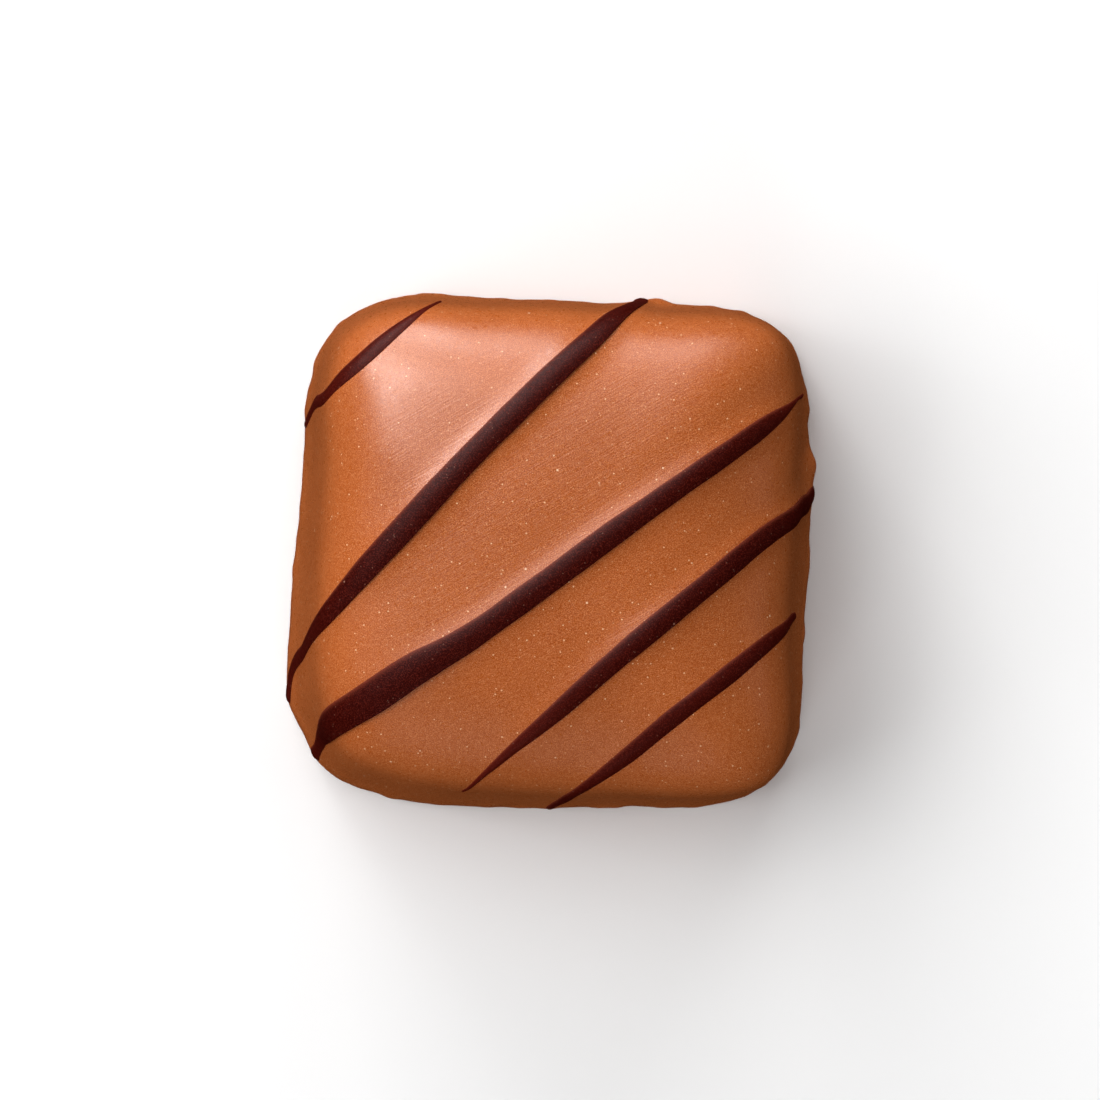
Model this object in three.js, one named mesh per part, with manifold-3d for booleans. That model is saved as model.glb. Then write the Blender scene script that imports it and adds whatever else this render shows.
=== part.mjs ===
// A brittle sweet coated in milk chocolate, with five lines of dark chocolate across it.
// Millimetres, +Z up. The origin is in the middle of the flat base, on the surface it rests on.
// It is uncut, so it is one solid: the coating and the lines that have set onto it.
import * as THREE from "three";
import { mergeVertices } from "three/addons/utils/BufferGeometryUtils.js";
import Module from "manifold-3d";

const wasm = await Module();
wasm.setup();

// Driving dimensions of the coated body
const TOP_HEIGHT = 15.9; // the middle of the top, under the lines
const HALF_WIDTH = 14.5; // from the middle to a side, at the foot
const FOOT_HEIGHT = 0.9; // the widest level, just above the base

// The foot seen from above, anticlockwise from the middle of the right side, eight points a side
const FOOT_OUTLINE = [
  [14.6, 0.0], [14.6, 4.2], [14.5, 8.0], [14.0, 10.8], [12.7, 12.7], [10.4, 13.7], [7.6, 14.0],
  [3.8, 14.1], [0.0, 14.3], [-3.8, 14.4], [-7.0, 14.6], [-10.0, 14.1], [-12.3, 12.6], [-13.4, 10.5],
  [-13.9, 7.8], [-14.0, 4.5], [-14.5, 0.0], [-14.8, -4.4], [-14.8, -8.0], [-14.0, -10.2],
  [-12.7, -12.3], [-10.4, -13.4], [-7.4, -14.1], [-3.8, -14.3], [0.0, -14.4], [4.0, -14.3],
  [7.6, -14.3], [10.6, -13.8], [12.6, -12.6], [13.8, -10.4], [14.2, -7.4], [14.3, -3.8],
];

// Round the foot in sixteen steps: how far the top of the wall leans in, and how wide the shoulder is
const WALL_LEAN = [1.4, 0.9, 0.4, 0.8, 0.8, 0.8, 0.8, 1.4, 1.8, 1.8, 1.4, 1.4, 1.2, 0.8, 0.3, 1.1];
const SHOULDER_WIDTH = [3.6, 2.8, 2.5, 2.6, 2.7, 3.2, 3.7, 2.6, 2.3, 2.6, 2.9, 3.3, 3.2, 3.8, 3.8, 3.7];

// Profile from the middle of the top to the base. Each control lies in from the foot by a share of
// the wall's lean, a share of the shoulder's width and a length of its own; the height comes last.
const PROFILE = [
  // Low dome, from just past the middle
  [0, 0, 18.5, 15.85], [0, 0, HALF_WIDTH, TOP_HEIGHT], [0, 0, 10.5, 15.85], [1, 1, 3.2, 15.5],
  // Shoulder
  [1, 1, 0.6, 14.8], [1, 0.5, 0, 13.5], [1, 0.1, 0, 12.0],
  // Wall
  [0.85, 0, 0, 10.0], [0.55, 0, 0, 6.0], [0.25, 0, 0, 2.8],
  // Rounded foot and flat base
  [0, 0, 0, FOOT_HEIGHT], [0, 0, 0.05, 0], [0, 0, 0.55, 0], [0, 0, 1.05, 0],
];

// Small lumps of coating that stand out of the wall: x, y, z, how far and how wide
const LUMPS = [
  [14.6, 4.9, 2.2, 0.5, 0.9],
  [6.1, 14.1, 1.8, 0.3, 0.7],
];

// Each line's points, seen from above: x, y and width. A point on the wall has a fourth number, its
// height. Swell is how much of the usual swelling the coating has at the line's start and end.
const DRIZZLE = [
  {
    swell: [0.3, 0.3],
    points: [
      [-13.9, 7.2, 0.5, 1.2], [-13.2, 8.2, 0.7], [-11.9, 9.2, 0.85], [-10.9, 10.1, 0.95],
      [-9.0, 11.8, 0.9], [-7.9, 12.7, 0.7], [-6.8, 13.5, 0.4], [-6.1, 13.9, 0.2]],
  },
  {
    swell: [0.6, 1.2],
    points: [
      [-14.8, -8.4, 0.8, 1.0], [-14.4, -6.6, 0.9], [-13.6, -5.4, 0.95], [-12.0, -3.2, 1.25],
      [-8.5, 0.8, 1.45], [-4.9, 4.7, 1.4], [-1.2, 8.4, 1.4], [2.7, 12.0, 1.25], [3.7, 12.9, 1.15],
      [4.7, 13.6, 0.9], [5.2, 14.2, 0.8, 1.6]],
  },
  {
    swell: [0.3, 1.4],
    points: [
      [-13.8, -11.8, 1.0, 1.0], [-13.2, -11.2, 0.8], [-12.7, -10.2, 1.1], [-11.9, -9.3, 1.75],
      [-9.6, -7.8, 1.9], [-7.4, -6.3, 1.8], [-5.1, -5.0, 1.5], [-0.8, -2.0, 1.4], [3.4, 1.1, 1.35],
      [7.7, 4.2, 1.2], [9.8, 5.7, 1.2], [12.0, 7.3, 0.95], [13.1, 8.1, 0.45], [13.9, 8.8, 0.2]],
  },
  {
    swell: [0.8, 1.2],
    points: [
      [-4.9, -13.1, 0.2], [-3.9, -12.3, 0.35], [-1.9, -10.5, 0.65], [0.1, -8.8, 1.0], [4.1, -5.3, 1.2],
      [8.1, -2.0, 1.25], [12.2, 1.4, 1.25], [13.4, 2.3, 1.2], [14.2, 3.0, 1.0], [14.6, 3.6, 0.8, 1.4]],
  },
  {
    swell: [0.3, 0.3],
    points: [
      [-0.1, -14.4, 0.5, 1.2], [0.5, -13.9, 0.75], [2.2, -12.6, 0.85], [4.3, -11.0, 1.0],
      [7.3, -8.5, 1.05], [10.4, -6.1, 1.05], [12.0, -4.8, 0.95], [13.2, -3.8, 0.7],
      [13.6, -3.5, 0.45]],
  },
];
const THINNEST_CROWN = 0.06; // height of the thinnest line
const CROWN_RISE = 0.08; // how much higher a line is for each mm of width
const SUNK_DEPTH = 0.4; // how far a line reaches into the coating
const SUNK_SHARE = 0.8; // width of a line's underside, as a share of the line's
const SWELL_HEIGHT = 0.35; // how far the coating has swelled up along a line of the usual width
const SWELL_REACH = 0.95; // how far to either side the swelling fades out
const USUAL_WIDTH = 1.4;

// Fineness of the faceted model
const RINGS = 26; // from the middle of the top down to the base
const STATION_STEP = 1.1; // along a line
const SWELL_STEP = 0.3; // along a line, for its swelling
const CROWN_FACETS = 6; // across a line
const LOOP_PASSES = 40; // enough for the closed curves to settle on their points
const RAY_START = 3; // how far outside the coating a ray towards it starts
const JOIN_TOLERANCE = 0.01; // slivers thinner than this are dropped where solids are joined

const lerp = THREE.MathUtils.lerp;

/** Value of a uniform cubic B-spline, where control number i has its strongest pull at u = i. */
function spline(controls, u) {
  const first = Math.floor(u);
  const f = u - first;
  const pulls = [
    (1 - f) ** 3,
    3 * f ** 3 - 6 * f ** 2 + 4,
    -3 * f ** 3 + 3 * f ** 2 + 3 * f + 1,
    f ** 3,
  ];
  const count = controls.length;
  const pulled = pulls.map((pull, k) => pull * controls[(first - 1 + k + count) % count]);
  return pulled.reduce((sum, value) => sum + value, 0) / 6;
}

/** Controls of the smooth closed curve that runs through the given values. */
function loopControls(values) {
  let controls = values;
  for (let pass = 0; pass < LOOP_PASSES; pass++) {
    controls = values.map((value, i) => {
      const neighbours = controls.at(i - 1) + controls[(i + 1) % values.length];
      return (6 * value - neighbours) / 4;
    });
  }
  return controls;
}

/** Smooth closed curve through the values, as a function of the turn from 0 to 1. */
function loop(values) {
  const controls = loopControls(values);
  return (turn) => spline(controls, (((turn % 1) + 1) % 1) * values.length);
}

const outlineX = loop(FOOT_OUTLINE.map(([x]) => x));
const outlineY = loop(FOOT_OUTLINE.map(([, y]) => y));
const wallLean = loop(WALL_LEAN);
const shoulderWidth = loop(SHOULDER_WIDTH);

/** Point of the coating, without its swellings: s runs from 0 at the top to 1 at the base. */
function coatingPoint(s, turn) {
  const lean = wallLean(turn);
  const shoulder = shoulderWidth(turn);
  const insets = PROFILE.map(([leans, shoulders, own]) => leans * lean + shoulders * shoulder + own);
  const heights = PROFILE.map(([, , , height]) => height);
  const u = 1 + s * (PROFILE.length - 3);
  const share = Math.max(0, 1 - spline(insets, u) / HALF_WIDTH);
  const x = outlineX(turn);
  const y = outlineY(turn);
  const reach = Math.hypot(x, y);
  // Higher up, the level curves turn from the foot's outline into circles
  const scale = (share * lerp(HALF_WIDTH, reach, share)) / reach;
  return new THREE.Vector3(x * scale, y * scale, spline(heights, u));
}

/** Turn of a grid point on its square ring, from 0 to 1 and anticlockwise from +X. */
function turnOnRing(column, row, ring) {
  const along = 1 / (8 * ring);
  if (Math.abs(column) >= Math.abs(row)) return column > 0 ? row * along : 0.5 - row * along;
  return row > 0 ? 0.25 - column * along : 0.75 + column * along;
}

/** Vertices of the coating on a square grid whose rings go from the top to the base. */
function coatingVertices() {
  const vertices = [];
  for (let row = -RINGS; row <= RINGS; row++) {
    for (let column = -RINGS; column <= RINGS; column++) {
      const ring = Math.max(Math.abs(column), Math.abs(row));
      const turn = ring === 0 ? 0 : turnOnRing(column, row, ring);
      vertices.push(coatingPoint(ring / RINGS, turn));
    }
  }
  return vertices;
}

/** Triangles of the grid, and a fan that closes the flat base round the last vertex. */
function coatingTriangles(baseMiddle) {
  const at = (column, row) => (row + RINGS) * (2 * RINGS + 1) + column + RINGS;
  const triangles = [];
  for (let i = -RINGS; i < RINGS; i++) {
    for (let j = -RINGS; j < RINGS; j++) {
      const [a, b, c, d] = [at(i, j), at(i + 1, j), at(i + 1, j + 1), at(i, j + 1)];
      const sameSign = (i + 0.5) * (j + 0.5) > 0;
      triangles.push(...(sameSign ? [a, b, c, a, c, d] : [a, b, d, b, c, d]));
    }
    triangles.push(baseMiddle, at(i + 1, -RINGS), at(i, -RINGS));
    triangles.push(baseMiddle, at(RINGS, i + 1), at(RINGS, i));
    triangles.push(baseMiddle, at(i, RINGS), at(i + 1, RINGS));
    triangles.push(baseMiddle, at(-RINGS, i), at(-RINGS, i + 1));
  }
  return triangles;
}

/** Geometry from a list of points and a flat list of triangle corners. */
function geometryOf(points, triangles) {
  const geometry = new THREE.BufferGeometry();
  const numbers = points.flatMap((point) => point.toArray());
  geometry.setAttribute("position", new THREE.Float32BufferAttribute(numbers, 3));
  geometry.setIndex(triangles);
  geometry.computeVertexNormals();
  return geometry;
}

/** Where a ray from a point towards a direction meets the mesh, with the surface's normal. */
function meet(mesh, from, direction) {
  const [hit] = new THREE.Raycaster(from, direction.clone().normalize()).intersectObject(mesh);
  return { point: hit.point, normal: hit.normal };
}

/** Places on the coating for a line's points: from above, or from beside for one on the wall. */
function snapToCoating(mesh, [x, y, , height]) {
  if (height === undefined) {
    return meet(mesh, new THREE.Vector3(x, y, TOP_HEIGHT + RAY_START), new THREE.Vector3(0, 0, -1));
  }
  return meet(mesh, new THREE.Vector3(2 * x, 2 * y, height), new THREE.Vector3(-x, -y, 0));
}

/** Stations along a line: point on the coating, normal, width, and height of the swelling. */
function lineStations(mesh, { points, swell }, step) {
  const places = points.map((entry) => snapToCoating(mesh, entry));
  const path = new THREE.CatmullRomCurve3(places.map((place) => place.point));
  const normals = new THREE.CatmullRomCurve3(places.map((place) => place.normal));
  const widthPoints = points.map(([, , width]) => new THREE.Vector3(width, 0, 0));
  const widths = new THREE.CatmullRomCurve3(widthPoints);
  const count = Math.round(path.getLength() / step);
  const stations = [];
  for (let i = 0; i <= count; i++) {
    const t = path.getUtoTmapping(i / count);
    const outwards = normals.getPoint(t).normalize();
    const from = path.getPoint(t).addScaledVector(outwards, RAY_START);
    const { point, normal } = meet(mesh, from, outwards.clone().negate());
    const width = widths.getPoint(t).x;
    const swelling = (SWELL_HEIGHT * lerp(swell[0], swell[1], i / count) * width) / USUAL_WIDTH;
    stations.push({ point, normal, width, swelling });
  }
  return stations;
}

/** How far the coating has swelled at a point, from the lines and lumps close to it. */
function swellAt(point, lines) {
  let total = 0;
  for (const stations of lines) {
    const fades = stations.map((station) => {
      return station.swelling * Math.exp(-station.point.distanceToSquared(point) / SWELL_REACH ** 2);
    });
    total += Math.max(...fades);
  }
  for (const [x, y, z, height, reach] of LUMPS) {
    total += height * Math.exp(-point.distanceToSquared(new THREE.Vector3(x, y, z)) / reach ** 2);
  }
  // The base stays flat
  return total * Math.min(1, point.z / FOOT_HEIGHT);
}

/** Closed bar with a domed top along the stations, sunk into the coating below. */
function lineGeometry(stations) {
  const points = [];
  const triangles = [];
  const sectionSize = CROWN_FACETS + 3;
  stations.forEach((station, i) => {
    const before = stations[Math.max(0, i - 1)].point;
    const after = stations[Math.min(stations.length - 1, i + 1)].point;
    const side = new THREE.Vector3().subVectors(after, before).cross(station.normal).normalize();
    const crown = THINNEST_CROWN + CROWN_RISE * station.width;
    const place = (across, up) => {
      const beside = station.point.clone().addScaledVector(side, (across * station.width) / 2);
      return beside.addScaledVector(station.normal, up);
    };
    for (let k = 0; k <= CROWN_FACETS; k++) {
      const across = Math.cos((Math.PI * k) / CROWN_FACETS);
      points.push(place(across, crown * (1 - across ** 2)));
    }
    points.push(place(-SUNK_SHARE, -SUNK_DEPTH), place(SUNK_SHARE, -SUNK_DEPTH));
  });
  for (let i = 0; i < stations.length - 1; i++) {
    for (let k = 0; k < sectionSize; k++) {
      const [a, b] = [i * sectionSize + k, i * sectionSize + ((k + 1) % sectionSize)];
      const [c, d] = [b + sectionSize, a + sectionSize];
      triangles.push(a, c, b, a, d, c);
    }
  }
  const last = (stations.length - 1) * sectionSize;
  for (let k = 1; k < sectionSize - 1; k++) {
    triangles.push(0, k, k + 1, last, last + k + 1, last + k);
  }
  return geometryOf(points, triangles);
}

/** Solid of a closed geometry, for joining. */
function solidOf(geometry) {
  geometry.deleteAttribute("normal");
  const merged = mergeVertices(geometry);
  const vertProperties = new Float32Array(merged.attributes.position.array);
  const triVerts = new Uint32Array(merged.index.array);
  const mesh = new wasm.Mesh({ numProp: 3, vertProperties, triVerts, tolerance: JOIN_TOLERANCE });
  return new wasm.Manifold(mesh);
}

/** The coating with its swellings, and the lines set onto it, joined into one geometry. */
function candyGeometry() {
  const vertices = coatingVertices();
  const triangles = coatingTriangles(vertices.length);
  vertices.push(new THREE.Vector3(0, 0, 0));
  const bare = new THREE.Mesh(geometryOf(vertices, triangles));
  const lines = DRIZZLE.map((line) => lineStations(bare, line, STATION_STEP));
  const fineLines = DRIZZLE.map((line) => lineStations(bare, line, SWELL_STEP));

  const normals = bare.geometry.attributes.normal;
  const swollen = vertices.map((vertex, i) => {
    const normal = new THREE.Vector3().fromBufferAttribute(normals, i);
    return vertex.clone().addScaledVector(normal, swellAt(vertex, fineLines));
  });
  let solid = solidOf(geometryOf(swollen, triangles));
  for (const stations of lines) {
    const lifted = stations.map((station) => ({
      ...station,
      point: station.point.clone().addScaledVector(station.normal, swellAt(station.point, fineLines)),
    }));
    solid = solid.add(solidOf(lineGeometry(lifted)));
  }
  const { vertProperties, triVerts } = solid.getMesh();
  const geometry = new THREE.BufferGeometry();
  geometry.setAttribute("position", new THREE.BufferAttribute(vertProperties, 3));
  geometry.setIndex(new THREE.BufferAttribute(triVerts, 1));
  geometry.computeVertexNormals();
  return geometry;
}

const milkChocolate = new THREE.MeshStandardMaterial({
  color: 0xb86f42,
  roughness: 0.45,
  metalness: 0,
});
const candy = new THREE.Mesh(candyGeometry(), milkChocolate);
candy.name = "coated_candy";

const part = new THREE.Group();
part.add(candy);
export default part;
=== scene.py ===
# Looks of a brittle sweet coated in milk chocolate, with five lines of dark chocolate across it.
# The shape is worked out in millimetres, from the same outline, profile and line points as the
# solid, and its meshes are scaled to metres as they are made.
import itertools
import math

import bpy
import numpy as np
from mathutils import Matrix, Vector
from mathutils.bvhtree import BVHTree


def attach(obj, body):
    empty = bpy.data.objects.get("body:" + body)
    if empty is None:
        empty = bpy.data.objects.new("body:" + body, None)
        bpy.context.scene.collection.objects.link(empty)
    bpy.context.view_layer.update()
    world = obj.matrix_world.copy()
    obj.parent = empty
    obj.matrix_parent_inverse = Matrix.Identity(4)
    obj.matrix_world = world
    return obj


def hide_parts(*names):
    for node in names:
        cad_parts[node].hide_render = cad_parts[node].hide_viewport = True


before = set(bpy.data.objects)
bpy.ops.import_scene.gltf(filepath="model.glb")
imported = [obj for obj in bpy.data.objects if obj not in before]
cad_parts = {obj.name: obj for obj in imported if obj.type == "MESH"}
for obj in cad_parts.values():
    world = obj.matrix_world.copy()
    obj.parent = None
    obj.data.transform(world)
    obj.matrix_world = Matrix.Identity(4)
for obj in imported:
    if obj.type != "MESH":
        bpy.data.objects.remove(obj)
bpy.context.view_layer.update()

MM = 0.001

# ---------------------------------------------------------------- the coated body, in mm

TOP_HEIGHT = 15.9  # the middle of the top, under the lines
HALF_WIDTH = 14.5  # from the middle to a side, at the foot
FOOT_HEIGHT = 0.9  # the widest level, just above the base

# The foot seen from above, anticlockwise from the middle of the right side, eight points a side
FOOT_OUTLINE = np.array([
    (14.6, 0.0), (14.6, 4.2), (14.5, 8.0), (14.0, 10.8), (12.7, 12.7), (10.4, 13.7), (7.6, 14.0),
    (3.8, 14.1), (0.0, 14.3), (-3.8, 14.4), (-7.0, 14.6), (-10.0, 14.1), (-12.3, 12.6), (-13.4, 10.5),
    (-13.9, 7.8), (-14.0, 4.5), (-14.5, 0.0), (-14.8, -4.4), (-14.8, -8.0), (-14.0, -10.2),
    (-12.7, -12.3), (-10.4, -13.4), (-7.4, -14.1), (-3.8, -14.3), (0.0, -14.4), (4.0, -14.3),
    (7.6, -14.3), (10.6, -13.8), (12.6, -12.6), (13.8, -10.4), (14.2, -7.4), (14.3, -3.8),
])

# Round the foot in sixteen steps: how far the top of the wall leans in, and how wide the shoulder is
WALL_LEAN = np.array([
    1.4, 0.9, 0.4, 0.8, 0.8, 0.8, 0.8, 1.4, 1.8, 1.8, 1.4, 1.4, 1.2, 0.8, 0.3, 1.1,
])
SHOULDER_WIDTH = np.array([
    3.6, 2.8, 2.5, 2.6, 2.7, 3.2, 3.7, 2.6, 2.3, 2.6, 2.9, 3.3, 3.2, 3.8, 3.8, 3.7,
])

# Profile from the middle of the top to the base. Each control lies in from the foot by a share of
# the wall's lean, a share of the shoulder's width and a length of its own; the height comes last.
PROFILE = (
    # Low dome, from just past the middle
    (0, 0, 18.5, 15.85), (0, 0, HALF_WIDTH, TOP_HEIGHT), (0, 0, 10.5, 15.85), (1, 1, 3.2, 15.5),
    # Shoulder
    (1, 1, 0.6, 14.8), (1, 0.5, 0, 13.5), (1, 0.1, 0, 12.0),
    # Wall
    (0.85, 0, 0, 10.0), (0.55, 0, 0, 6.0), (0.25, 0, 0, 2.8),
    # Rounded foot and flat base
    (0, 0, 0, FOOT_HEIGHT), (0, 0, 0.05, 0), (0, 0, 0.55, 0), (0, 0, 1.05, 0),
)

# Small lumps of coating that stand out of the wall: x, y, z, how far and how wide
LUMPS = (
    (14.6, 4.9, 2.2, 0.5, 0.9),
    (6.1, 14.1, 1.8, 0.3, 0.7),
)

# Uneven setting of the coating: size of the bumps, their height, and the seed of each
UNEVENNESS = (
    (7.0, 0.05, 3),
    (2.5, 0.012, 5),
)
FOOT_RIPPLE_SIZE = 0.9
FOOT_RIPPLE_HEIGHT = 0.12
FOOT_RIPPLE_REACH = 2.0  # how far up the wall the ripples of the foot fade out
RIPPLE_SEED = 11

BODY_RINGS = 140  # from the middle of the top down to the base
LEVEL_SAMPLES = 40  # for each ring, to measure the profile's length
LOOP_PASSES = 40  # enough for the closed curves to settle on their points
LATTICE_SIDE = 64  # how many bumps of noise lie side by side before it repeats

# ---------------------------------------------------------------- the lines, in mm

# Each line's points, seen from above: x, y and width. A point on the wall has a fourth number, its
# height. The pair is how much of the usual swelling the coating has at the line's start and end.
DRIZZLE = {
    "drizzle_rear_left": ((0.3, 0.3), [
        (-13.9, 7.2, 0.5, 1.2), (-13.2, 8.2, 0.7), (-11.9, 9.2, 0.85), (-10.9, 10.1, 0.95),
        (-9.0, 11.8, 0.9), (-7.9, 12.7, 0.7), (-6.8, 13.5, 0.4), (-6.1, 13.9, 0.2)]),
    "drizzle_rear": ((0.6, 1.2), [
        (-14.8, -8.4, 0.8, 1.0), (-14.4, -6.6, 0.9), (-13.6, -5.4, 0.95), (-12.0, -3.2, 1.25),
        (-8.5, 0.8, 1.45), (-4.9, 4.7, 1.4), (-1.2, 8.4, 1.4), (2.7, 12.0, 1.25), (3.7, 12.9, 1.15),
        (4.7, 13.6, 0.9), (5.2, 14.2, 0.8, 1.6)]),
    "drizzle_middle": ((0.3, 1.4), [
        (-13.8, -11.8, 1.0, 1.0), (-13.2, -11.2, 0.8), (-12.7, -10.2, 1.1), (-11.9, -9.3, 1.75),
        (-9.6, -7.8, 1.9), (-7.4, -6.3, 1.8), (-5.1, -5.0, 1.5), (-0.8, -2.0, 1.4), (3.4, 1.1, 1.35),
        (7.7, 4.2, 1.2), (9.8, 5.7, 1.2), (12.0, 7.3, 0.95), (13.1, 8.1, 0.45), (13.9, 8.8, 0.2)]),
    "drizzle_front": ((0.8, 1.2), [
        (-4.9, -13.1, 0.2), (-3.9, -12.3, 0.35), (-1.9, -10.5, 0.65), (0.1, -8.8, 1.0),
        (4.1, -5.3, 1.2), (8.1, -2.0, 1.25), (12.2, 1.4, 1.25), (13.4, 2.3, 1.2), (14.2, 3.0, 1.0),
        (14.6, 3.6, 0.8, 1.4)]),
    "drizzle_front_right": ((0.3, 0.3), [
        (-0.1, -14.4, 0.5, 1.2), (0.5, -13.9, 0.75), (2.2, -12.6, 0.85), (4.3, -11.0, 1.0),
        (7.3, -8.5, 1.05), (10.4, -6.1, 1.05), (12.0, -4.8, 0.95), (13.2, -3.8, 0.7),
        (13.6, -3.5, 0.45)]),
}
THINNEST_CROWN = 0.06  # height of the thinnest line
CROWN_RISE = 0.08  # how much higher a line is for each mm of width
SUNK_DEPTH = 0.4  # how far a line reaches into the coating
SUNK_SHARE = 0.8  # width of a line's underside, as a share of the line's
SWELL_HEIGHT = 0.35  # how far the coating has swelled up along a line of the usual width
SWELL_REACH = 0.95  # how far to either side the swelling fades out
SWELL_CUT = 3  # how many times that far the swelling is worked out
SWELL_EVERY = 2  # only every second station of a line is used, as they lie close together
USUAL_WIDTH = 1.4
EDGE_WANDER = 0.04  # uneven width of a line, as a share
WANDER_SIZE = 1.6
WANDER_SEED = 23

STATION_STEP = 0.12  # along a line
CROWN_FACETS = 26  # across a line
SMOOTHING = 0.35  # how far a line's course is evened out along itself
BELL_CUT = 3  # how many times that far the averaging goes
SQUARED_TIP_SHARE = 0.02  # square of the least share of its width that a line has at its tip
THIN_WIDTH = 1.3  # below this width a line counts as narrow
THIN_LIT_EDGE_POWER = 5  # how closely the painted light and redness keep to a line's rear edge

# ---------------------------------------------------------------- view and light

CAMERA_DISTANCE = 0.5
FRAME_WIDTH = 0.06203  # width of the floor that the photo shows
SENSOR_WIDTH = 36.0
CLIP_START = 0.01
CAMERA_OFFSET = (-0.056 * MM, 0.17 * MM)  # the middle of the photo, from the middle of the sweet
# Square softboxes: the way towards each from above, in degrees anticlockwise from +X, how many
# degrees up it is, its distance, its width, and its power
SOFTBOXES = {
    "softbox_rear": (112, 16, 0.42, 0.20, 1.05),
}
# Softboxes that light the top and brighten the sides, and leave no reflection
FILLS = {
    "fill_rear_left": (140, 49, 0.42, 0.36, 1.00),
    "fill_left": (185, 40, 0.42, 0.30, 0.80),
    "fill_rear_right": (75, 18, 0.42, 0.20, 0.72),
    "fill_front": (262, 27, 0.42, 0.30, 0.66),
    "fill_right": (0, 13, 0.42, 0.18, 0.36),
}
# Softboxes that only show as reflections, brightest near the left rear corner
GLINTS = {
    "glint": (134, 37, 0.42, 0.14, 0.86),
    "glint_high": (122, 58, 0.42, 0.25, 0.55),
    "glint_rear": (100, 40, 0.42, 0.20, 0.35),
    "glint_rear_low": (92, 18, 0.42, 0.20, 0.50),
}
STUDIO_GREY = 0.12  # dim light from all round
FLOOR_SIZE = 3.0
FLOOR_COLOUR = (0.92, 0.92, 0.92, 1)
FLOOR_ROUGHNESS = 0.9


# ---------------------------------------------------------------- curves

def spline(controls, u):
    """Values of a uniform cubic B-spline, where control number i has its strongest pull at u = i.

    controls is one list for all of u, or has one column for each value of u.
    """
    first = np.floor(u).astype(int)
    f = u - first
    pulls = ((1 - f) ** 3, 3 * f ** 3 - 6 * f ** 2 + 4, -3 * f ** 3 + 3 * f ** 2 + 3 * f + 1, f ** 3)
    total = np.zeros(len(u))
    for k, pull in enumerate(pulls):
        index = (first - 1 + k) % len(controls)
        picked = controls[index] if controls.ndim == 1 else controls[index, np.arange(len(u))]
        total += pull * picked / 6
    return total


def loop(values, turn):
    """Smooth closed curve through the values, at turns from 0 to 1."""
    controls = values
    for _ in range(LOOP_PASSES):
        controls = (6 * values - np.roll(controls, 1) - np.roll(controls, -1)) / 4
    return spline(controls, (turn % 1) * len(values))


def course(points, count):
    """Evenly spaced values along the curve through a list of points, eased at each of them."""
    points = np.array(points, float)
    steps = np.linalg.norm(np.diff(points[:, :3], axis=0), axis=1)
    at = np.concatenate(([0], np.cumsum(steps)))
    slopes = np.gradient(points, at, axis=0)
    t = np.linspace(0, at[-1], count)
    i = np.clip(np.searchsorted(at, t, side="right") - 1, 0, len(steps) - 1)
    h = steps[i][:, None]
    f = ((t - at[i]) / steps[i])[:, None]
    return ((2 * f ** 3 - 3 * f ** 2 + 1) * points[i] + (f ** 3 - 2 * f ** 2 + f) * h * slopes[i]
            + (3 * f ** 2 - 2 * f ** 3) * points[i + 1] + (f ** 3 - f ** 2) * h * slopes[i + 1])


def evened(values, step, reach):
    """Values along a line, averaged with their neighbours within about the given reach."""
    half = int(BELL_CUT * reach / step)
    bell = np.exp(-0.5 * (np.arange(-half, half + 1) * step / reach) ** 2)
    bell /= bell.sum()
    # Past each end the values go on as their own mirror image, so the ends stay in place
    before = 2 * values[0] - values[half:0:-1]
    after = 2 * values[-1] - values[-2:-half - 2:-1]
    padded = np.concatenate((before, values, after))
    return np.stack([np.convolve(column, bell, "valid") for column in padded.T], axis=1)


def lattice_noise(points, size, seed):
    """Smooth noise from -1 to 1, with bumps of about the given size."""
    lattice = np.random.default_rng(seed).uniform(-1, 1, (LATTICE_SIDE,) * 3)
    at = points / size
    cell = np.floor(at).astype(int)
    f = at - cell
    f = f * f * (3 - 2 * f)
    total = np.zeros(len(points))
    for corner in itertools.product((0, 1), repeat=3):
        weight = np.prod(np.where(corner, f, 1 - f), axis=1)
        x, y, z = ((cell + corner) % LATTICE_SIDE).T
        total += weight * lattice[x, y, z]
    return total


def unit(vectors):
    return vectors / np.linalg.norm(vectors, axis=-1, keepdims=True)


# ---------------------------------------------------------------- the coating

def coating_points(s, turn):
    """Points of the coating, without its swellings: s runs from 0 at the top to 1 at the base."""
    lean = loop(WALL_LEAN, turn)
    shoulder = loop(SHOULDER_WIDTH, turn)
    insets = np.array([
        leans * lean + shoulders * shoulder + inset for leans, shoulders, inset, _ in PROFILE
    ])
    heights = np.array([height for *_, height in PROFILE])
    u = 1 + s * (len(PROFILE) - 3)
    share = np.maximum(0, 1 - spline(insets, u) / HALF_WIDTH)
    x = loop(FOOT_OUTLINE[:, 0], turn)
    y = loop(FOOT_OUTLINE[:, 1], turn)
    reach = np.hypot(x, y)
    # Higher up, the level curves turn from the foot's outline into circles
    scale = share * (HALF_WIDTH + (reach - HALF_WIDTH) * share) / reach
    return np.stack((x * scale, y * scale, spline(heights, u)), axis=1)


def even_levels(count):
    """Profile positions that lie evenly along the coating from the top to the base."""
    s = np.linspace(0, 1, LEVEL_SAMPLES * count)
    steps = np.linalg.norm(np.diff(coating_points(s, np.zeros(len(s))), axis=0), axis=1)
    length = np.concatenate(([0], np.cumsum(steps)))
    return np.interp(np.linspace(0, length[-1], count + 1), length, s)


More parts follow.
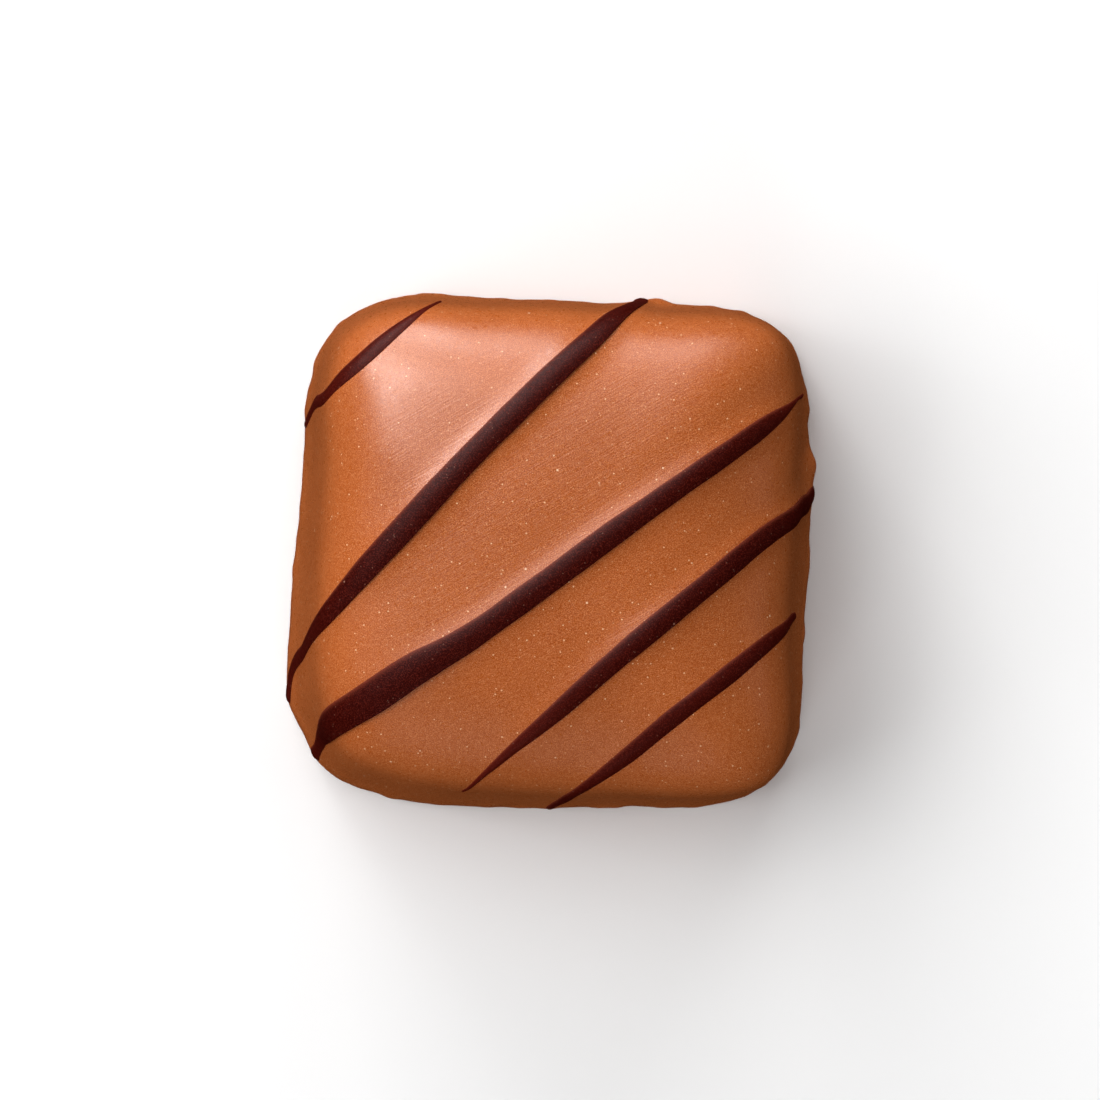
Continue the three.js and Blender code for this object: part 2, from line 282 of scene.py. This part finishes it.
def coating_grid():
    """Vertices on a square grid whose rings go from the top to the base, and faces, base included."""
    span = slice(-BODY_RINGS, BODY_RINGS + 1)
    row, column = (axis.ravel() for axis in np.mgrid[span, span])
    ring = np.maximum(abs(row), abs(column))
    along = 1 / (8 * np.maximum(ring, 1))
    beside = np.where(column > 0, row * along, 0.5 - row * along)
    behind = np.where(row > 0, 0.25 - column * along, 0.75 + column * along)
    turn = np.where(abs(column) >= abs(row), beside, behind)
    vertices = coating_points(even_levels(BODY_RINGS)[ring], turn)

    side = 2 * BODY_RINGS + 1
    corner = (np.arange(side - 1)[:, None] * side + np.arange(side - 1)).ravel()
    faces = np.stack((corner, corner + 1, corner + side + 1, corner + side), axis=1).tolist()
    rim = np.flatnonzero(ring == BODY_RINGS)
    rim = rim[np.argsort(turn[rim] % 1)]
    middle = len(vertices)
    faces += [(middle, b, a) for a, b in zip(rim.tolist(), np.roll(rim, -1).tolist())]
    return np.vstack((vertices, (0, 0, 0))), faces


def swell(points, lines):
    """How far the coating has swelled at each point, from the lines and lumps close to it."""
    total = np.zeros(len(points))
    for line in lines:
        most = np.zeros(len(points))
        for centre, swelling in zip(line["point"][::SWELL_EVERY], line["swelling"][::SWELL_EVERY]):
            near = np.abs(points - centre).max(axis=1) < SWELL_CUT * SWELL_REACH
            fade = np.exp(-((points[near] - centre) ** 2).sum(axis=1) / SWELL_REACH ** 2)
            most[near] = np.maximum(most[near], swelling * fade)
        total += most
    for x, y, z, height, reach in LUMPS:
        total += height * np.exp(-((points - (x, y, z)) ** 2).sum(axis=1) / reach ** 2)
    return total


def unevenness(points):
    """Faint bumps all over, and the ripples of the foot."""
    total = sum(height * lattice_noise(points, size, seed) for size, height, seed in UNEVENNESS)
    fade = np.exp(-(points[:, 2] / FOOT_RIPPLE_REACH) ** 2)
    return total + fade * FOOT_RIPPLE_HEIGHT * lattice_noise(points, FOOT_RIPPLE_SIZE, RIPPLE_SEED)


def relief(points, lines):
    """Everything that the coating stands out by; the base stays flat."""
    return (swell(points, lines) + unevenness(points)) * np.clip(points[:, 2] / FOOT_HEIGHT, 0, 1)


# ---------------------------------------------------------------- the lines

def meet(tree, start, direction):
    """Where a ray meets the coating."""
    return np.array(tree.ray_cast(Vector(start), Vector(direction))[0])


def snapped(tree, x, y, width, height=None):
    """One of a line's points on the coating: from above, or from beside for one on the wall."""
    if height is None:
        return (*meet(tree, (x, y, 2 * TOP_HEIGHT), (0, 0, -1)), width)
    return (*meet(tree, (2 * x, 2 * y, height), (-x, -y, 0)), width)


def line_stations(tree, shares, points):
    """Stations close together along a line: points on the coating, normals, widths and swelling."""
    rough = [snapped(tree, *point) for point in points]
    length = np.linalg.norm(np.diff(np.array(rough)[:, :3], axis=0), axis=1).sum()
    stations = evened(course(rough, int(length / STATION_STEP)), STATION_STEP, SMOOTHING)
    found = [tree.find_nearest(Vector(place)) for place in stations[:, :3]]
    centres = evened(np.array([hit[0] for hit in found]), STATION_STEP, SMOOTHING)
    normals = unit(evened(np.array([hit[1] for hit in found]), STATION_STEP, SMOOTHING))
    wander = 1 + EDGE_WANDER * lattice_noise(centres, WANDER_SIZE, WANDER_SEED)
    width = stations[:, 3] * wander
    swelling = SWELL_HEIGHT * np.linspace(*shares, len(width)) * width / USUAL_WIDTH
    return {"point": centres, "normal": normals, "width": width, "swelling": swelling}


def rounded_ends(width):
    """Share of its width that a line has at each station, with round ends."""
    along = np.arange(len(width)) * STATION_STEP
    share = np.ones(len(width))
    for distance, end_width in ((along, width[0]), (along[-1] - along, width[-1])):
        part = np.clip(1 - distance / (end_width / 2), 0, 1)
        share = np.minimum(share, np.sqrt(np.maximum(1 - part ** 2, SQUARED_TIP_SHARE)))
    return share


def line_mesh(line, lines):
    """Closed bar with a domed top, sunk into the coating: its vertices and faces, and how thin the
    chocolate is at each vertex because the line is narrow, and how strongly its rear edge, which
    faces the lamps, is painted lighter and redder, as thin chocolate and as painted light.
    """
    share = rounded_ends(line["width"])
    width = line["width"] * share
    crown = (THINNEST_CROWN + CROWN_RISE * line["width"]) * share
    side = unit(np.cross(np.gradient(line["point"], axis=0), line["normal"]))
    centre = line["point"] + line["normal"] * relief(line["point"], lines)[:, None]
    across = np.cos(np.linspace(0, math.pi, CROWN_FACETS + 1))
    up = 1 - across ** 2
    across = np.concatenate((across, (-SUNK_SHARE, SUNK_SHARE)))
    # Painted light: the rear edge, the side that faces the lamps, gets a lighter, redder colour; the
    # chocolate is thin there too
    thin_lit_edge = np.clip(-across, 0, 1) ** THIN_LIT_EDGE_POWER
    sunk = np.concatenate((np.zeros(CROWN_FACETS + 1), (SUNK_DEPTH, SUNK_DEPTH)))
    up = np.concatenate((up, (0, 0)))
    height = crown[:, None] * up - sunk
    rings = (centre[:, None] + side[:, None] * (width[:, None] * across / 2)[..., None]
             + line["normal"][:, None] * height[..., None])
    count, size = rings.shape[:2]
    faces = []
    for i in range(count - 1):
        for k in range(size):
            a, b = i * size + k, i * size + (k + 1) % size
            faces.append((a, a + size, b + size, b))
    faces.append(tuple(range(size)))
    faces.append(tuple(range(count * size - 1, (count - 1) * size - 1, -1)))
    narrowness = np.repeat(np.clip(THIN_WIDTH - width, 0, 1), size)
    return rings.reshape(-1, 3), faces, {"narrowness": narrowness, "thin_lit_edge": np.tile(thin_lit_edge, count)}


# ---------------------------------------------------------------- making objects

def mesh_object(name, vertices, faces):
    """Smooth-shaded object from points in mm."""
    mesh = bpy.data.meshes.new(name)
    mesh.from_pydata((np.asarray(vertices) * MM).tolist(), [], faces)
    mesh.validate()
    mesh.polygons.foreach_set("use_smooth", np.ones(len(mesh.polygons), bool))
    obj = bpy.data.objects.new(name, mesh)
    bpy.context.scene.collection.objects.link(obj)
    return obj


def vertex_normals(vertices, faces):
    """Outward normals of a mesh's vertices."""
    mesh = bpy.data.meshes.new("bare")
    mesh.from_pydata(vertices.tolist(), [], faces)
    normals = np.zeros(3 * len(vertices))
    mesh.vertices.foreach_get("normal", normals)
    bpy.data.meshes.remove(mesh)
    return normals.reshape(-1, 3)


def add_attribute(obj, name, values):
    obj.data.attributes.new(name, "FLOAT", "POINT").data.foreach_set("value", values)


# ---------------------------------------------------------------- materials, sizes in mm

CHOCOLATE_IOR = 1.46
DARK_SPECULAR = 0.10
SPECK_CORE = 0.6  # share of a speck's radius over which it covers fully

# Four numbers turn noise into a tone, a cover or a roughness: the two values of the noise between
# which it changes, and what it is at each of them
TONE_SIZE = 6.0
TONE_RANGE = (0.3, 0.7, 0, 1)
MILK_TONES = ((0.38, 0.079, 0.0105, 1), (0.42, 0.091, 0.0135, 1))
MILK_SAND_SIZE = 0.05
PALE_SAND_RANGE = (0.42, 0.75, 0, 0.52)
PALE_SAND_COLOUR = (0.74, 0.30, 0.125, 1)
DARK_SAND_RANGE = (0.58, 0.25, 0, 0.55)
DARK_SAND_COLOUR = (0.21, 0.034, 0.005, 1)
SATIN_SIZE = 0.3  # patches of the surface that are a little smoother or rougher
MILK_ROUGHNESS_RANGE = (0.3, 0.7, 0.27, 0.36)
MILK_BUMP_SIZE = 0.4
MILK_BUMP_DEPTH = 0.006

# Fine scratches across the top, which fade out down the shoulders
SCRATCH_ANGLE = math.radians(30)
SCRATCH_LENGTH = 2.5
SCRATCH_WIDTH = 0.09
SCRATCH_DEPTH = 0.013
SCRATCH_FADE_HEIGHT = 13.5
SCRATCH_FULL_HEIGHT = 15.0

# The lines are darkest where they are wide, and redder where narrow. Their rear edge, which
# faces the lamps, is painted lighter and redder: thin chocolate there, and painted light
WIDE_COLOUR = (0.025, 0.0006, 0.0001, 1)
NARROW_COLOUR = (0.075, 0.005, 0.002, 1)
# Painted light and thin chocolate: the lighter, redder colour along each line's rear edge
THIN_LIT_EDGE_RANGE = (0, 1, 0, 0.4)
THIN_LIT_EDGE_COLOUR = (0.30, 0.060, 0.030, 1)
LINE_SAND_SIZE = 0.06
LINE_SAND_RANGE = (0.46, 0.72, 0, 0.75)
LINE_SAND_COLOUR = (0.12, 0.014, 0.008, 1)
LINE_SAND_DEPTH = 0.010
LINE_ROUGHNESS_RANGE = (0.3, 0.7, 0.40, 0.52)
LINE_BUMP_SIZE = 0.35
LINE_BUMP_DEPTH = 0.012

# Kinds of dots: their spacing and radius, the share of places that has one, how strongly it covers,
# and its colour
MILK_DOTS = (
    # Pale milk grains
    (0.36, 0.048, 0.55, 0.55, (0.76, 0.37, 0.18, 1)),
    (0.47, 0.056, 0.6, 0.75, (0.88, 0.53, 0.30, 1)),
    (1.5, 0.078, 0.4, 0.75, (0.92, 0.60, 0.38, 1)),
    # Dark and red specks
    (1.2, 0.055, 0.35, 0.55, (0.16, 0.030, 0.010, 1)),
    (3.5, 0.090, 0.35, 0.7, (0.36, 0.020, 0.008, 1)),
)
DARK_DOTS = (
    (0.30, 0.045, 0.5, 0.22, (0.45, 0.22, 0.15, 1)),
    (1.3, 0.070, 0.4, 0.45, (0.5, 0.26, 0.18, 1)),
)


def new_material(name):
    material = bpy.data.materials.new(name)
    material.use_nodes = True
    material.node_tree.nodes.clear()
    return material


def node(tree, kind, inputs=None, **settings):
    """Adds a shader node; its inputs are plain values or other nodes' outputs."""
    added = tree.nodes.new("ShaderNode" + kind)
    for name, value in settings.items():
        setattr(added, name, value)
    for name, value in (inputs or {}).items():
        if isinstance(value, bpy.types.NodeSocket):
            tree.links.new(value, added.inputs[name])
        else:
            added.inputs[name].default_value = value
    return added


def mixed(tree, factor, first, second):
    """Colour between two colours."""
    mix = node(tree, "Mix", data_type="RGBA")
    for socket, value in ((mix.inputs[0], factor), (mix.inputs[6], first), (mix.inputs[7], second)):
        if isinstance(value, bpy.types.NodeSocket):
            tree.links.new(value, socket)
        else:
            socket.default_value = value
    return mix.outputs[2]


def noise(tree, place, size, detail=2.0):
    """Noise from 0 to 1 with features of about the given size in mm."""
    inputs = {"Vector": place, "Scale": 1 / (size * MM), "Detail": detail}
    return node(tree, "TexNoise", inputs).outputs["Fac"]


def ranged(tree, value, low, high, to_low, to_high):
    """Turns values between low and high smoothly into values between to_low and to_high."""
    inputs = {"Value": value, "From Min": low, "From Max": high, "To Min": to_low, "To Max": to_high}
    return node(tree, "MapRange", inputs, interpolation_type="SMOOTHSTEP").outputs["Result"]


def specks(tree, place, spacing, radius, share):
    """Mask of small round specks: how far apart, how large, and the share of places that has one."""
    cells = node(tree, "TexVoronoi", {"Vector": place, "Scale": 1 / (spacing * MM)})
    size = radius / spacing
    round_mask = ranged(tree, cells.outputs["Distance"], SPECK_CORE * size, size, 1, 0)
    draw = node(tree, "SeparateColor", {"Color": cells.outputs["Color"]}).outputs["Red"]
    chosen = node(tree, "Math", {0: draw, 1: share}, operation="LESS_THAN").outputs[0]
    return node(tree, "Math", {0: round_mask, 1: chosen}, operation="MULTIPLY").outputs[0]


def object_place(tree):
    return node(tree, "TexCoord").outputs["Object"]


def brushed(tree, place, angle, length, width):
    """Noise drawn out into fine parallel strokes across the top."""
    scale = (1 / (length * MM), 1 / (width * MM), 1 / (length * MM))
    inputs = {"Vector": place, "Rotation": (0, 0, angle)}
    turned = node(tree, "Mapping", inputs, vector_type="TEXTURE").outputs[0]
    stretched = node(tree, "Mapping", {"Vector": turned, "Scale": scale}).outputs[0]
    return node(tree, "TexNoise", {"Vector": stretched, "Scale": 1.0, "Detail": 2.0}).outputs["Fac"]


def shade(material, colour, roughness, bumps, **constants):
    """Principled surface with stacked bumps, each a height and its depth in mm."""
    tree = material.node_tree
    shader = node(tree, "BsdfPrincipled", {"Base Color": colour, "Roughness": roughness, **constants})
    normal = None
    for height, depth in bumps:
        bump = node(tree, "Bump", {"Height": height, "Distance": depth * MM, "Strength": 1.0})
        if normal is not None:
            tree.links.new(normal, bump.inputs["Normal"])
        normal = bump.outputs["Normal"]
    tree.links.new(normal, shader.inputs["Normal"])
    output = node(tree, "OutputMaterial")
    tree.links.new(shader.outputs[0], output.inputs["Surface"])
    return material


def dotted(tree, colour, place, dots):
    """Colour with scattered dots of each kind over it."""
    for spacing, radius, share, strength, dot_colour in dots:
        mask = specks(tree, place, spacing, radius, share)
        factor = node(tree, "Math", {0: mask, 1: strength}, operation="MULTIPLY").outputs[0]
        colour = mixed(tree, factor, colour, dot_colour)
    return colour


def milk_chocolate():
    """Satin milk chocolate: soft tone changes, a sandy grain, pale and dark specks, fine scratches."""
    material = new_material("milk_chocolate")
    tree = material.node_tree
    place = object_place(tree)
    tone = ranged(tree, noise(tree, place, TONE_SIZE), *TONE_RANGE)
    colour = mixed(tree, tone, *MILK_TONES)
    sand = noise(tree, place, MILK_SAND_SIZE, detail=1.0)
    colour = mixed(tree, ranged(tree, sand, *PALE_SAND_RANGE), colour, PALE_SAND_COLOUR)
    colour = mixed(tree, ranged(tree, sand, *DARK_SAND_RANGE), colour, DARK_SAND_COLOUR)
    colour = dotted(tree, colour, place, MILK_DOTS)
    strokes = brushed(tree, place, SCRATCH_ANGLE, SCRATCH_LENGTH, SCRATCH_WIDTH)
    height = node(tree, "SeparateXYZ", {"Vector": place}).outputs["Z"]
    on_top = ranged(tree, height, SCRATCH_FADE_HEIGHT * MM, SCRATCH_FULL_HEIGHT * MM, 0, 1)
    scratches = node(tree, "Math", {0: strokes, 1: on_top}, operation="MULTIPLY").outputs[0]
    roughness = ranged(tree, noise(tree, place, SATIN_SIZE), *MILK_ROUGHNESS_RANGE)
    bumps = ((noise(tree, place, MILK_BUMP_SIZE), MILK_BUMP_DEPTH), (scratches, SCRATCH_DEPTH))
    return shade(material, colour, roughness, bumps, IOR=CHOCOLATE_IOR)


def dark_chocolate():
    """Satin dark chocolate, redder where a line is thin, and painted lighter and redder along
    the rear edge that faces the lamps: painted light there, on thin chocolate.
    """
    material = new_material("dark_chocolate")
    tree = material.node_tree
    place = object_place(tree)
    narrow = node(tree, "Attribute", attribute_name="narrowness").outputs["Fac"]
    # Share of painted light on the rear edge, which faces the lamps, where the chocolate is thin too
    edge = node(tree, "Attribute", attribute_name="thin_lit_edge").outputs["Fac"]
    sand = noise(tree, place, LINE_SAND_SIZE, detail=1.0)
    colour = mixed(tree, narrow, WIDE_COLOUR, NARROW_COLOUR)
    colour = mixed(tree, ranged(tree, sand, *LINE_SAND_RANGE), colour, LINE_SAND_COLOUR)
    colour = mixed(tree, ranged(tree, edge, *THIN_LIT_EDGE_RANGE), colour, THIN_LIT_EDGE_COLOUR)
    colour = dotted(tree, colour, place, DARK_DOTS)
    roughness = ranged(tree, noise(tree, place, SATIN_SIZE), *LINE_ROUGHNESS_RANGE)
    bumps = ((noise(tree, place, LINE_BUMP_SIZE), LINE_BUMP_DEPTH), (sand, LINE_SAND_DEPTH))
    constants = {"IOR": CHOCOLATE_IOR, "Specular IOR Level": DARK_SPECULAR}
    return shade(material, colour, roughness, bumps, **constants)


# ---------------------------------------------------------------- the sweet

def make_sweet():
    vertices, faces = coating_grid()
    tree = BVHTree.FromPolygons(vertices.tolist(), faces)
    lines = {name: line_stations(tree, *entry) for name, entry in DRIZZLE.items()}
    stations = list(lines.values())
    normals = vertex_normals(vertices, faces)
    raised = vertices + normals * relief(vertices, stations)[:, None]
    coating = mesh_object("milk_coating", raised, faces)
    coating.data.materials.append(milk_chocolate())
    pieces = [coating]
    dark = dark_chocolate()
    for name, line in lines.items():
        line_vertices, line_faces, thinness_and_lit_edge = line_mesh(line, stations)
        piece = mesh_object(name, line_vertices, line_faces)
        # Each line carries its narrowness and its rear edge with painted light as attributes
        for attribute, values in thinness_and_lit_edge.items():
            add_attribute(piece, attribute, values)
        piece.data.materials.append(dark)
        pieces.append(piece)
    for piece in pieces:
        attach(piece, "root")
        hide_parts("coated_candy")


# ---------------------------------------------------------------- floor, light and camera

def make_floor():
    half = FLOOR_SIZE / 2 / MM
    corners = [(-half, -half, 0), (half, -half, 0), (half, half, 0), (-half, half, 0)]
    floor = mesh_object("floor", corners, [(0, 1, 2, 3)])
    material = new_material("floor_white")
    inputs = {"Base Color": FLOOR_COLOUR, "Roughness": FLOOR_ROUGHNESS}
    shader = node(material.node_tree, "BsdfPrincipled", inputs)
    output = node(material.node_tree, "OutputMaterial")
    material.node_tree.links.new(shader.outputs[0], output.inputs["Surface"])
    floor.data.materials.append(material)
    # So white a floor would brighten the sweet's walls too much
    floor.visible_glossy = False
    floor.visible_diffuse = False


def make_softbox(name, azimuth, elevation, distance, width, power):
    data = bpy.data.lights.new(name, "AREA")
    data.shape = "SQUARE"
    data.size = width
    data.energy = power
    across = math.cos(math.radians(elevation))
    towards = Vector((
        across * math.cos(math.radians(azimuth)),
        across * math.sin(math.radians(azimuth)),
        math.sin(math.radians(elevation)),
    ))
    softbox = bpy.data.objects.new(name, data)
    softbox.location = towards * distance
    softbox.rotation_euler = towards.to_track_quat("Z", "Y").to_euler()
    bpy.context.scene.collection.objects.link(softbox)
    return softbox


def make_light():
    for name, place in SOFTBOXES.items():
        make_softbox(name, *place)
    for name, place in FILLS.items():
        make_softbox(name, *place).visible_glossy = False
    for name, place in GLINTS.items():
        make_softbox(name, *place).visible_diffuse = False
    world = bpy.data.worlds.new("studio")
    bpy.context.scene.world = world
    world.use_nodes = True
    background = world.node_tree.nodes["Background"]
    background.inputs["Color"].default_value = (1, 1, 1, 1)
    background.inputs["Strength"].default_value = STUDIO_GREY
    world.cycles_visibility.glossy = False


def make_camera():
    data = bpy.data.cameras.new("camera")
    data.sensor_width = SENSOR_WIDTH
    data.lens = SENSOR_WIDTH * CAMERA_DISTANCE / FRAME_WIDTH
    data.clip_start = CLIP_START
    camera = bpy.data.objects.new("camera", data)
    camera.location = (*CAMERA_OFFSET, CAMERA_DISTANCE)
    bpy.context.scene.collection.objects.link(camera)
    bpy.context.scene.camera = camera


make_sweet()
make_floor()
make_light()
make_camera()
bpy.context.scene.view_settings.view_transform = "Standard"
